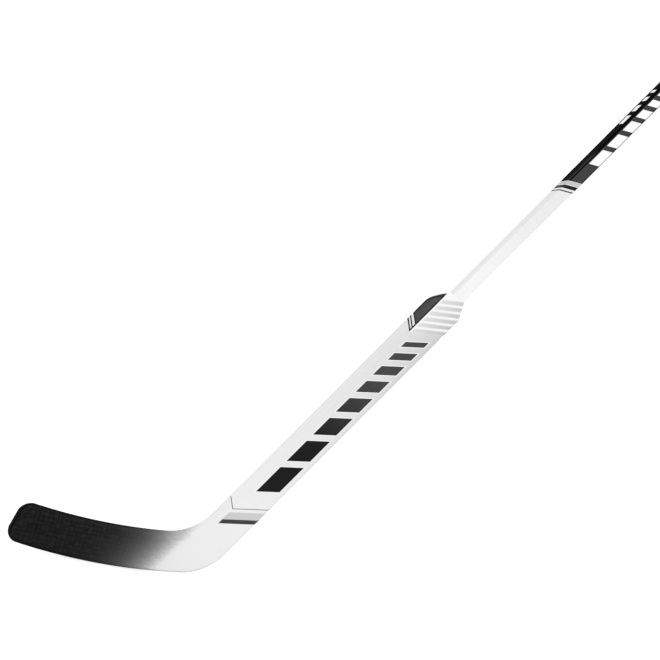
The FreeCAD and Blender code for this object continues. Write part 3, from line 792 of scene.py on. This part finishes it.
def bare_laminate():
    """Uncoated fibre cloth of the ribs."""
    finish = Finish("bare_laminate", Specular_IOR_Level=0.3)
    graph = finish.graph
    weave = graph.use(
        WEAVE, Tow=TOW_WIDTH, Lengthwise=finish.place["Along"], Crosswise=finish.place["Out"]).outputs
    finish.color(graph.mix(weave["Tone"], grey(RIB_DARK), grey(RIB_LIGHT)))
    finish.gloss(roughness=0.55, swing=0.15, scale=60.0)
    finish.bump(weave["Height"], distance=0.0002, strength=0.6)
    return finish.material


def plug_plastic():
    """Moulded grey plastic."""
    finish = Finish("plug_plastic", Specular_IOR_Level=0.4)
    graph = finish.graph
    spot = finish.solid_place()
    cloud = graph.noise(spot, scale=150.0, detail=4.0)
    finish.color(graph.mix(cloud, grey(PLUG_DARK), grey(PLUG_LIGHT)))
    finish.gloss(roughness=0.5, swing=0.15, scale=80.0)
    finish.bump(graph.noise(spot, scale=2400.0), distance=0.00005, strength=0.4)
    return finish.material


SLOT_FINISHES = {
    "paddle_laminate": paddle_paint(),
    "blade_weave": blade_finish(),
    "shaft_laminate": shaft_paint(),
    "wrap_film": wrap_film(),
    "butt_rubber": butt_rubber(),
    "core_foam": core_foam(),
    "rib_laminate": bare_laminate(),
    "plug_plastic": plug_plastic(),
}


def dress_nodes():
    """Gives every carried-over piece the finish of its record slot."""
    for part in record["subparts"]:
        for holder in nodes[part["node"]].material_slots:
            holder.material = SLOT_FINISHES[part["material_slot"]]


def select_where(mesh, kind, wanted):
    """Selects the edges or faces of a mesh in edit mode that wanted says yes to, and nothing else."""
    shape = bmesh.from_edit_mesh(mesh)
    bpy.ops.mesh.select_all(action="DESELECT")
    for item in getattr(shape, kind):
        item.select_set(wanted(item))
    bmesh.update_edit_mesh(mesh)


def butt_cap():
    """A moulded cap: a round-edged flange on the end of the shaft, with a plug that goes into it.

    It is modelled lengthwise on X, with its outer end at zero, and then laid on the stick.
    """
    bpy.ops.object.select_all(action="DESELECT")
    bpy.ops.mesh.primitive_cube_add(size=1.0)
    cap = bpy.context.object
    cap.name = "butt_cap_moulded"
    cap.dimensions = (CAP_FLANGE, SHAFT_WIDTH, SHAFT_DEPTH)
    cap.location = (-CAP_FLANGE / 2, 0, 0)
    bpy.ops.object.transform_apply(location=True, rotation=False, scale=True)
    bpy.ops.object.mode_set(mode="EDIT")
    middle = -CAP_FLANGE / 2
    select_where(cap.data, "edges", lambda edge: len({vertex.co.x > middle for vertex in edge.verts}) == 2)
    bpy.ops.mesh.bevel(offset=SHAFT_CORNER, segments=CAP_CORNER_STEPS, affect="EDGES")
    select_where(cap.data, "edges", lambda edge: all(vertex.co.x > middle for vertex in edge.verts))
    bpy.ops.mesh.bevel(offset=CAP_EDGE_ROUND, segments=CAP_EDGE_STEPS, affect="EDGES")
    select_where(cap.data, "faces", lambda face: face.normal.x < CAP_UNDER_FACING)
    bpy.ops.mesh.inset(thickness=SHAFT_WALL + PLUG_FIT, depth=0.0)
    bpy.ops.mesh.extrude_region_move(TRANSFORM_OT_translate={"value": (-CAP_PLUG, 0, 0)})
    bpy.ops.object.mode_set(mode="OBJECT")
    turn = Matrix((ALONG, ACROSS, OUT)).transposed()
    cap.matrix_world = Matrix.Translation(on_stick(OVERALL_LENGTH, 0.0)) @ turn.to_4x4()
    bpy.ops.object.transform_apply(location=True, rotation=True, scale=True)
    bpy.ops.object.shade_smooth_by_angle(angle=CAP_SMOOTH)
    cap.data.materials.append(SLOT_FINISHES["butt_rubber"])
    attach(cap, "root")
    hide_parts("butt_cap")


# How far a face laminate lies from the rails beside it, and how directions tell its faces and ends from
# its sides.
BOND_LINE = 0.0002
BOND_FACING = 0.5
BOND_END_FACING = 0.97
BOND_TOE_LEAN = 0.2
BOND_SMOOTH = math.radians(30.0)


def off_side(face):
    """Whether a laminate's face is none of its long sides.

    It looks to the front or the back, or is an end: square to the shaft, or at the toe, which alone looks
    both down the shaft and towards the upper edge.
    """
    lengthwise = face.normal.dot(ALONG)
    crosswise = face.normal.dot(ACROSS)
    toe_end = lengthwise < -BOND_TOE_LEAN and crosswise > BOND_TOE_LEAN
    return abs(face.normal.y) > BOND_FACING or abs(lengthwise) > BOND_END_FACING or toe_end


def bond_resin(skin):
    """The resin round a face laminate, grown out of the laminate's own sides and flush with its face."""
    bpy.ops.object.select_all(action="DESELECT")
    bpy.ops.mesh.primitive_plane_add()
    resin = bpy.context.object
    resin.name = f"{skin}_bond"
    resin.data = nodes[skin].data.copy()
    bpy.ops.mesh.customdata_custom_splitnormals_clear()
    bpy.ops.object.mode_set(mode="EDIT")
    select_where(resin.data, "faces", off_side)
    bpy.ops.mesh.delete(type="FACE")
    bpy.ops.mesh.select_all(action="SELECT")
    bpy.ops.mesh.remove_doubles()
    bpy.ops.object.mode_set(mode="OBJECT")
    bpy.ops.object.modifier_add(type="SOLIDIFY")
    thickening = resin.modifiers[-1]
    thickening.thickness = BOND_LINE
    thickening.offset = 1.0
    bpy.ops.object.modifier_apply(modifier=thickening.name)
    bpy.ops.object.shade_smooth_by_angle(angle=BOND_SMOOTH)
    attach(resin, "root")


def direct_rays(graph):
    """1 for the rays that show a background: the camera's own, reflected and transmitted ones."""
    path = graph.node("ShaderNodeLightPath").outputs
    return graph.either(path["Is Camera Ray"], path["Is Glossy Ray"], path["Is Transmission Ray"])


FLOOR_SIZE = 60.0
FLOOR_SINK = 0.0003
FLOOR_GLOW = 0.80


def lay_floor():
    """A pale floor under the sole. Seen by the camera it is white but for the stick's soft shadow."""
    bpy.ops.object.select_all(action="DESELECT")
    bpy.ops.mesh.primitive_plane_add(size=FLOOR_SIZE, location=(0, 0, cad_box[0].z - FLOOR_SINK))
    floor = bpy.context.object
    floor.name = "floor"
    material = bpy.data.materials.new("floor_white")
    material.use_nodes = True
    graph = Graph(material.node_tree)
    material.node_tree.nodes.remove(material.node_tree.nodes["Principled BSDF"])
    matte = graph.node("ShaderNodeBsdfDiffuse")
    matte.inputs["Color"].default_value = grey(FLOOR_WHITE)
    veil = graph.node("ShaderNodeBsdfDiffuse")
    veil.inputs["Color"].default_value = grey(FLOOR_VEIL)
    glow = graph.node("ShaderNodeEmission")
    glow.inputs["Strength"].default_value = FLOOR_GLOW
    seen = graph.node("ShaderNodeAddShader")
    graph.feed(seen.inputs[0], veil.outputs[0])
    graph.feed(seen.inputs[1], glow.outputs[0])
    look = graph.node("ShaderNodeMixShader")
    graph.feed(look.inputs["Fac"], direct_rays(graph))
    graph.feed(look.inputs[1], matte.outputs[0])
    graph.feed(look.inputs[2], seen.outputs[0])
    under = graph.node("ShaderNodeMixShader")
    graph.feed(under.inputs["Fac"], graph.node("ShaderNodeNewGeometry").outputs["Backfacing"])
    graph.feed(under.inputs[1], look.outputs[0])
    graph.feed(under.inputs[2], graph.node("ShaderNodeBsdfTransparent").outputs[0])
    output = material.node_tree.nodes["Material Output"]
    graph.feed(output.inputs["Surface"], under.outputs[0])
    floor.data.materials.append(material)


WORLD_LIGHT = 0.74


def white_world():
    """Even soft light, and a white background behind the stick."""
    world = bpy.data.worlds.new("studio")
    world.use_nodes = True
    bpy.context.scene.world = world
    graph = Graph(world.node_tree)
    light = world.node_tree.nodes["Background"]
    light.inputs["Color"].default_value = grey(1.0)
    light.inputs["Strength"].default_value = WORLD_LIGHT
    shown = graph.node("ShaderNodeBackground")
    shown.inputs["Color"].default_value = grey(1.0)
    shown.inputs["Strength"].default_value = 1.0
    look = graph.node("ShaderNodeMixShader")
    graph.feed(look.inputs["Fac"], direct_rays(graph))
    graph.feed(look.inputs[1], light.outputs[0])
    graph.feed(look.inputs[2], shown.outputs[0])
    graph.feed(world.node_tree.nodes["World Output"].inputs["Surface"], look.outputs[0])


# The photograph's view: turned about the paddle's axis towards its upper edge, and rolled so that the
# paddle runs up to the right at 45 degrees. The aim is a place on the stick, along and across.
VIEW_TURN = math.radians(30.0)
VIEW_WIDTH = 1.221
VIEW_AIM = (0.4914, 0.14226)
LENS = 800.0
SENSOR = 36.0

# Two soft boxes, in metres and watts, and where they shine from.
LAMP_WIDTH = 2.4
LAMP_DISTANCE = 3.5
KEY_FROM = (0.10, -1.0, 0.71)
KEY_POWER = 50.0
BACK_FROM = (-0.4, 1.0, 0.7)
BACK_POWER = 34.0


def point_at(thing, spot, back, up):
    """Stands a camera or lamp off a spot, looking back at it."""
    right = up.cross(back).normalized()
    turn = Matrix((right, back.cross(right).normalized(), back)).transposed()
    thing.matrix_world = Matrix.Translation(spot) @ turn.to_4x4()


def place_camera():
    """A long lens at the photograph's viewing angle."""
    data = bpy.data.cameras.new("photo_view")
    data.lens = LENS
    data.sensor_width = SENSOR
    camera = bpy.data.objects.new("photo_view", data)
    bpy.context.scene.collection.objects.link(camera)
    bpy.context.scene.camera = camera
    back = OUT * math.cos(VIEW_TURN) + ACROSS * math.sin(VIEW_TURN)
    side = OUT * math.sin(VIEW_TURN) - ACROSS * math.cos(VIEW_TURN)
    distance = VIEW_WIDTH * LENS / SENSOR
    point_at(camera, on_stick(*VIEW_AIM) + back * distance, back, ALONG - side)


def hang_lamp(name, direction, power):
    """A square soft box that shines on the middle of the stick."""
    lamp = bpy.data.lights.new(name, "AREA")
    lamp.shape = "SQUARE"
    lamp.size = LAMP_WIDTH
    lamp.energy = power
    holder = bpy.data.objects.new(name, lamp)
    bpy.context.scene.collection.objects.link(holder)
    back = Vector(direction).normalized()
    middle = (cad_box[0] + cad_box[1]) / 2
    point_at(holder, middle + back * LAMP_DISTANCE, back, Vector((0, 0, 1)))


dress_nodes()
butt_cap()
for face in ("front", "back"):
    bond_resin(f"paddle_{face}_skin")
    bond_resin(f"blade_{face}_skin")
lay_floor()
white_world()
hang_lamp("key_light", KEY_FROM, KEY_POWER)
hang_lamp("back_light", BACK_FROM, BACK_POWER)
place_camera()
bpy.context.scene.view_settings.view_transform = "Standard"
